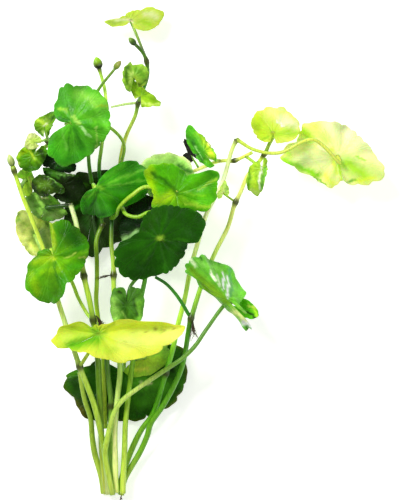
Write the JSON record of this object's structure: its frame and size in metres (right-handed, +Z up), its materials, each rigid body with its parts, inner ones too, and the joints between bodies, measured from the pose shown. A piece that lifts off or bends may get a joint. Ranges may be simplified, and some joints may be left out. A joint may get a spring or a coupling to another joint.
{
  "type": "bunch of cut brazilian pennywort stems",
  "caption": "Loose bunch of cut pennywort stems lying as picked, with kidney-shaped leaves on thin stalks, knots, buds and short roots",
  "frame": {"origin": "middle of the bunch's footprint, on the surface it lies on", "axes": "+Y runs from the cut ends to the youngest leaves, +Z points up from the surface, +X completes the right-handed frame"},
  "size_m": [0.1509, 0.1994, 0.0389],
  "materials": {
    "dark_leaf": "fresh dark green leaf, satin",
    "deep_leaf": "fresh deep green leaf, satin",
    "green_leaf": "fresh mid-green leaf, satin",
    "bright_leaf": "young light green leaf, satin",
    "yellow_leaf": "ageing yellow leaf with a green middle, satin",
    "pale_leaf": "thin pale yellow-green leaf, satin",
    "brown_leaf": "withered dark brown leaf, matte",
    "green_stem": "juicy green stem, smooth",
    "pale_stem": "juicy pale green stem, smooth",
    "root": "fine dark brown roots, matte"
  },
  "bodies": {
    "root": {"stem_left_long": "green_stem", "stem_left_short": "green_stem", "stem_thick": "green_stem", "stem_short_middle": "pale_stem", "stem_curved_shoot": "pale_stem", "stem_pale_front": "pale_stem", "stem_middle_top": "green_stem", "stem_green_tall": "green_stem", "stem_right_green": "green_stem", "stem_pale_long": "pale_stem", "stem_right_light": "pale_stem", "stem_behind_left": "pale_stem", "stem_runner": "pale_stem", "stem_side_shoot": "green_stem", "leaf_big_yellow": "yellow_leaf", "leaf_big_back": "dark_leaf", "leaf_olive_under": "green_leaf", "leaf_dark_front": "dark_leaf", "leaf_bright_front": "bright_leaf", "leaf_big_middle": "deep_leaf", "leaf_behind_middle": "green_leaf", "leaf_dark_inner": "dark_leaf", "leaf_dark_left_inner": "dark_leaf", "leaf_left_low": "green_leaf", "leaf_upper_left": "green_leaf", "leaf_small_hanging": "deep_leaf", "leaf_right_folded": "green_leaf", "leaf_young_right": "green_leaf", "leaf_left_under": "pale_leaf", "leaf_dark_crumpled": "deep_leaf", "leaf_olive_left": "green_leaf", "leaf_black_left": "dark_leaf", "leaf_dark_under": "dark_leaf", "leaf_left_mid": "green_leaf", "leaf_left_bright": "bright_leaf", "leaf_left_pale": "pale_leaf", "leaf_left_crinkled": "bright_leaf", "leaf_top": "pale_leaf", "leaf_small_round": "green_leaf", "leaf_small_light": "bright_leaf", "leaf_right_top_dark": "deep_leaf", "leaf_withered": "brown_leaf", "leaf_right_light": "bright_leaf", "leaf_right_pale": "pale_leaf", "leaf_right_hanging": "bright_leaf", "leaf_right_tiny": "bright_leaf", "bud_pale_front": "green_leaf", "bud_middle_top": "brown_leaf", "bud_left_long": "pale_leaf", "bud_green_tall": "green_leaf", "roots_thick": "root", "roots_right": "root", "roots_middle": "root", "roots_base": "root"}
  },
  "joints": []
}
